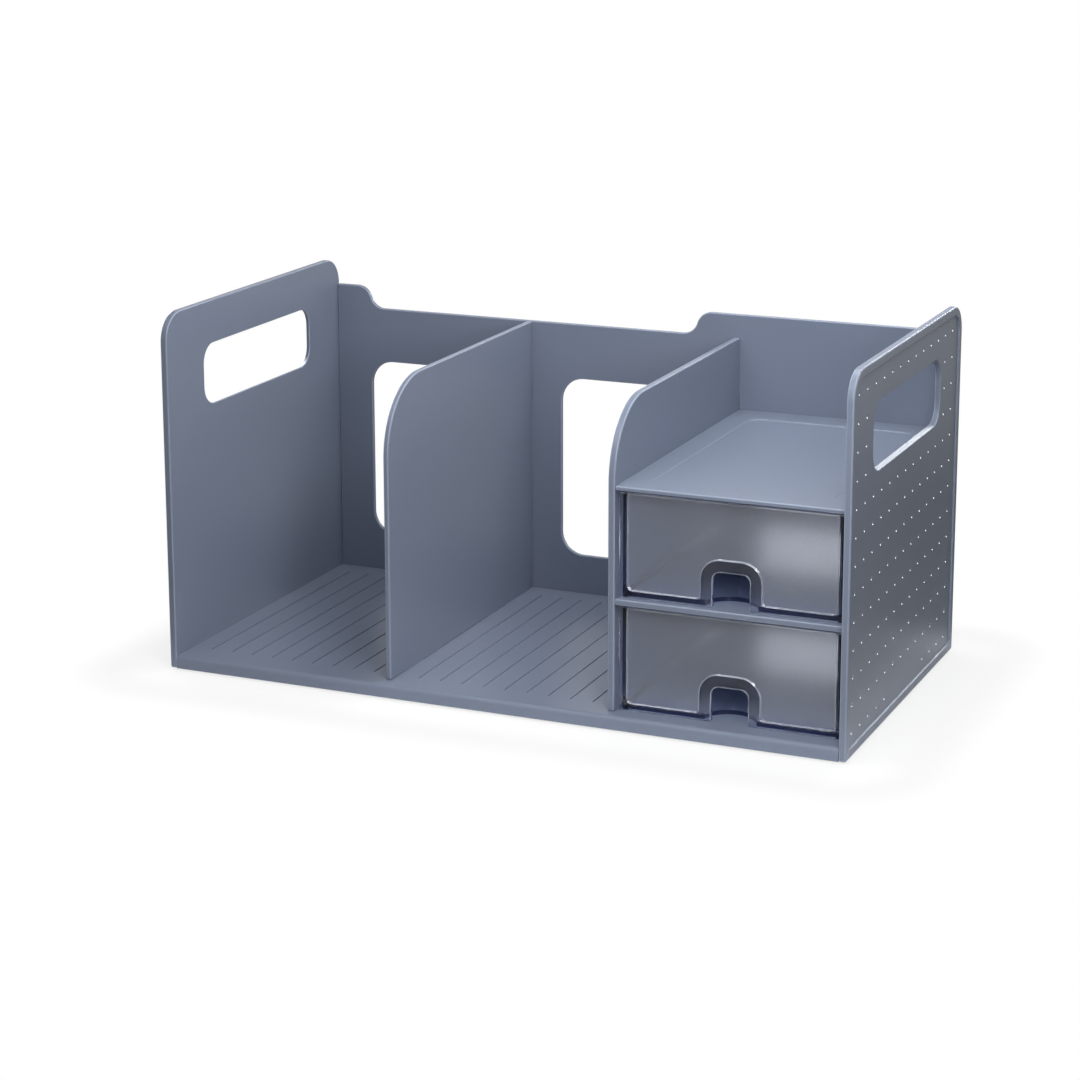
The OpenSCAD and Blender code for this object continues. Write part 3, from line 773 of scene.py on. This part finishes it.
def clear_plastic():
    """Smoky clear plastic of the drawers, polished but for its finely frosted field"""
    f = Finish(bpy.data.materials.new("clear_plastic"))
    frost, edge = f.marked("frost"), f.marked(EDGE)
    waves = f.noise(CLEAR_WAVE_SCALE)
    grain = f.noise(CLEAR_GRAIN_SCALE, detail=3.0, rough=0.6)
    scuffs = f.noise(CLEAR_SCUFF_SCALE, detail=4.0, rough=0.7)
    normal = f.bump(waves * CLEAR_WAVE_DEPTH + grain * frost * CLEAR_GRAIN_DEPTH, CLEAR_RELIEF)
    polished = f.plastic({
        "Base Color": CLEAR_TINT, "Normal": normal, "IOR": 1.52, "Transmission Weight": 1.0,
        "Roughness": CLEAR_ROUGH + scuffs * CLEAR_SCUFF_ROUGH + frost * CLEAR_FROST_ROUGH,
        "Coat Weight": edge, "Coat Roughness": 0.05, "Coat IOR": 2.4})
    haze_and_highlight, depth_shade = (f.plastic({"Base Color": colour, "Roughness": CLEAR_DEEP_ROUGH,
                               "Normal": normal}) for colour in (CLEAR_HAZE_AND_HIGHLIGHT, CLEAR_DEPTH_SHADE))
    # The frosted field hazes, and the front edges get a painted highlight beside their real coat
    hazy_and_highlit = f.either(frost * FROST_HAZE_SHARE + edge * EDGE_HIGHLIGHT_SHARE, polished, haze_and_highlight)
    # Caught rays meet the painted navy shade
    body = f.either(f.ray("Glossy Depth") > CAUGHT, hazy_and_highlit, depth_shade)
    straight = f.node("ShaderNodeBsdfTransparent", None, {"Color": CLEAR_SHADOW})
    smoke = f.node("ShaderNodeVolumeAbsorption", None,
                   {"Color": CLEAR_SMOKE, "Density": CLEAR_SMOKE_DENSITY})
    return f.show(f.either(f.ray("Is Shadow Ray"), body, straight), smoke)


RUBBER_DARK = (0.020, 0.021, 0.024, 1.0)
RUBBER_LIGHT = (0.034, 0.036, 0.040, 1.0)
RUBBER_GRAIN_SCALE, RUBBER_CLOUD_SCALE = 1500.0, 120.0
RUBBER_GRAIN_DEPTH, RUBBER_RELIEF = 0.00005, 0.5
RUBBER_ROUGH, RUBBER_ROUGH_SPREAD = 0.75, 0.15


def foot_rubber():
    """Matt dark rubber of the feet"""
    f = Finish(bpy.data.materials.new("foot_rubber"))
    grain = f.noise(RUBBER_GRAIN_SCALE, detail=3.0)
    return f.show(f.plastic({
        "Base Color": f.blend(f.noise(RUBBER_CLOUD_SCALE), RUBBER_DARK, RUBBER_LIGHT),
        "Roughness": RUBBER_ROUGH + grain * RUBBER_ROUGH_SPREAD,
        "Normal": f.bump(grain * RUBBER_GRAIN_DEPTH, RUBBER_RELIEF)}))


# The pieces in their places

shell = shell_plastic()
clear = clear_plastic()
rubber = foot_rubber()


def stand_for(piece, node, body, material):
    """Gives a piece its material and its body, in place of the node"""
    piece.data.materials.clear()
    piece.data.materials.append(material)
    # Large faces lead the shading of the small ones beside them
    piece.modifiers.new("weighted_normals", "WEIGHTED_NORMAL").keep_sharp = True
    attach(piece, body)
    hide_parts(node)


stand_for(end_panel("left_panel_moulding", -1), "left_end_panel", "rack", shell)
stand_for(end_panel("right_panel_moulding", 1), "right_end_panel", "rack", shell)
stand_for(back_panel(), "back_panel", "rack", shell)
for node, (x, t) in UPRIGHTS.items():
    stand_for(upright_plate(node + "_moulding", x, t), node, "rack", shell)
for node, (z, t) in SHELVES.items():
    stand_for(shelf_plate(node + "_moulding", z, t, node == "top_shelf"), node, "rack",
              shell)
for node, z in (("upper_drawer", UPPER_CELL_Z), ("lower_drawer", BASE_Z)):
    stand_for(drawer(node + "_moulding", z + LIFT), node, node, clear)

for node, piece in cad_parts.items():
    if piece.hide_render:
        continue
    for slot in piece.material_slots:
        slot.material = rubber if node.endswith("_foot") else shell

# Camera, at the photograph's viewing angle

CAMERA_PLACE = Vector((0.5848, -1.3907, 0.4927))
AZIMUTH, ELEVATION, ROLL = math.radians(23.445), math.radians(12.82), math.radians(-0.13)
LENS, SENSOR, FRAME_SHIFT_X, FRAME_SHIFT_Y, FARTHEST = 91.52, 36.0, 0.00435, -0.1238, 30.0

camera = bpy.data.objects.new("camera", bpy.data.cameras.new("camera"))
bpy.context.scene.collection.objects.link(camera)
bpy.context.scene.camera = camera
ahead = Vector((-math.sin(AZIMUTH) * math.cos(ELEVATION),
                math.cos(AZIMUTH) * math.cos(ELEVATION), -math.sin(ELEVATION)))
turn = ahead.to_track_quat("-Z", "Y").to_matrix() @ Matrix.Rotation(ROLL, 3, "Z")
camera.matrix_world = Matrix.Translation(CAMERA_PLACE) @ turn.to_4x4()
camera.data.sensor_width, camera.data.lens = SENSOR, LENS
camera.data.shift_x, camera.data.shift_y = FRAME_SHIFT_X, FRAME_SHIFT_Y
camera.data.clip_end = FARTHEST

# Lamps: each one's place, the point that it faces, its width and height, and its power in watts

RACK_MIDDLE, CABINET_MIDDLE, CABINET_FOOT = (0.0, 0.0, 0.1), (0.2, 0.0, 0.1), (0.1, -0.1, 0.0)
SOFTBOXES = {
    "overhead_softbox": ((0.14, 0.08, 0.5), RACK_MIDDLE, 0.3, 0.34, 1.4),
    "front_top_softbox": ((0.2, -0.4, 0.5), RACK_MIDDLE, 0.3, 0.3, 1.4),
    "left_softbox": ((-0.35, -0.4, 0.8), RACK_MIDDLE, 0.3, 0.5, 1.1),
    "near_left_softbox": ((-0.05, -0.3, 0.5), (0.1, 0.0, 0.1), 0.2, 0.2, 0.4),
    "low_front_softbox": ((0.35, -0.5, 0.3), CABINET_FOOT, 0.15, 0.15, 1.2),
    "right_softbox": ((0.9, -0.5, 1.1), RACK_MIDDLE, 0.4, 0.4, 2.2),
    "rear_softbox": ((0.38, 1.71, 0.64), CABINET_MIDDLE, 0.35, 0.35, 4.5),
    "far_left_softbox": ((-1.3, 0.9, 0.45), (-0.2, 0.05, 0.1), 0.5, 0.5, 9.0),
    "glint_softbox": ((1.5, 1.3, 0.58), CABINET_MIDDLE, 1.3, 0.9, 17.0)}


def softbox(name, place, target, width, height, power):
    lamp = bpy.data.lights.new(name, "AREA")
    lamp.shape = "RECTANGLE"
    lamp.size, lamp.size_y, lamp.energy = width, height, power
    made = bpy.data.objects.new(name, lamp)
    bpy.context.scene.collection.objects.link(made)
    look = (Vector(target) - Vector(place)).to_track_quat("-Z", "Y")
    made.matrix_world = Matrix.Translation(place) @ look.to_matrix().to_4x4()
    made.visible_camera = False
    return made


lamps = {name: softbox(name, *values) for name, values in SOFTBOXES.items()}
# This one shows in reflections only, and makes the bright points in the dimples
lamps["glint_softbox"].visible_diffuse = False
lamps["glint_softbox"].visible_transmission = False

# Studio round the rack: white behind it, as the photograph shows, and dimmer elsewhere

BEHIND, REAR_LEFT = (-0.39, 0.92, 0.05), (-0.8, 0.6, 0.05)
SWEEP_EDGE, SWEEP_FULL = 0.72, 0.90
AMBIENT, REAR_FILL, DIM, SHINE, THROUGH = 0.1, 0.6, 0.05, 0.7, 0.5


def light_studio():
    world = bpy.data.worlds.new("studio")
    bpy.context.scene.world = world
    f = Finish(world, "ShaderNodeOutputWorld")
    around = f.node("ShaderNodeTexCoord", output="Generated")
    white_sweep = f.ease(f.vector("DOT_PRODUCT", around, BEHIND, output=1),
                         SWEEP_EDGE, SWEEP_FULL)
    fill = f.node("ShaderNodeMapRange", None, {
        "Value": f.vector("DOT_PRODUCT", around, REAR_LEFT, output=1),
        "To Min": AMBIENT, "To Max": AMBIENT + REAR_FILL})
    shine = white_sweep * SHINE + (1 - white_sweep) * DIM
    inside = white_sweep + (1 - white_sweep) * THROUGH
    glossy, through, seen = (f.ray("Is Glossy Ray"), f.ray("Is Transmission Ray"),
                             f.ray("Is Camera Ray"))
    strength = glossy * shine + (1 - glossy) * fill
    strength = through * inside + (1 - through) * strength
    strength = seen + (1 - seen) * strength
    f.show(f.node("ShaderNodeBackground", None, {"Color": grey(1.0), "Strength": strength}))


light_studio()

# Floor: white to the camera, with the rack's shadow round its foot, and duller to other rays

FLOOR_HALF, FLOOR_SQUARES, FLOOR_DROP, FLOOR_ROUGH = 3.0, 8, 0.0002, 0.9
SHADOW_FULL, SHADOW_END, SHADOW_SHARE = 0.012, 0.06, 0.25
MIRROR_START, MIRROR_FULL, MIRROR_SHARE = 0.5, 0.9, 0.4
PAPER_NEAR, PAPER_FAR = 0.86, 0.2
ANY_HEIGHT = 10.0
RACK_HALF = (RACK_W * MM / 2, RACK_D * MM / 2, ANY_HEIGHT)


def floor_paper():
    f = Finish(bpy.data.materials.new("studio_floor"))
    place = f.place()
    beside = f.vector("SUBTRACT", f.vector("ABSOLUTE", place), RACK_HALF)
    beside = f.vector("LENGTH", f.vector("MAXIMUM", beside, (0, 0, 0)), output=1)
    near = 1 - f.ease(beside, SHADOW_FULL, SHADOW_END)
    far = f.ease(f.vector("LENGTH", place, output=1), MIRROR_START, MIRROR_FULL)
    glossy, through, seen = (f.ray("Is Glossy Ray"), f.ray("Is Transmission Ray"),
                             f.ray("Is Camera Ray"))
    paper = f.plastic({"Base Color": f.blend(near, grey(PAPER_FAR), grey(PAPER_NEAR)),
                       "Roughness": FLOOR_ROUGH, "Specular IOR Level": 0.1})
    white = f.node("ShaderNodeEmission", None, {"Color": grey(1.0), "Strength": 1.0})
    mirrored = through * THROUGH + (1 - through) * glossy * far * MIRROR_SHARE
    share = seen * (1 - near * SHADOW_SHARE) + (1 - seen) * mirrored
    return f.show(f.either(share, paper, white))


floor_mesh = bmesh.new()
bmesh.ops.create_grid(floor_mesh, x_segments=FLOOR_SQUARES, y_segments=FLOOR_SQUARES,
                      size=FLOOR_HALF)
floor_data = bpy.data.meshes.new("studio_floor")
floor_mesh.to_mesh(floor_data)
floor_mesh.free()
floor_data.materials.append(floor_paper())
floor = bpy.data.objects.new("studio_floor", floor_data)
floor.location.z = -FLOOR_DROP
bpy.context.scene.collection.objects.link(floor)

bpy.context.scene.view_settings.view_transform = "Standard"
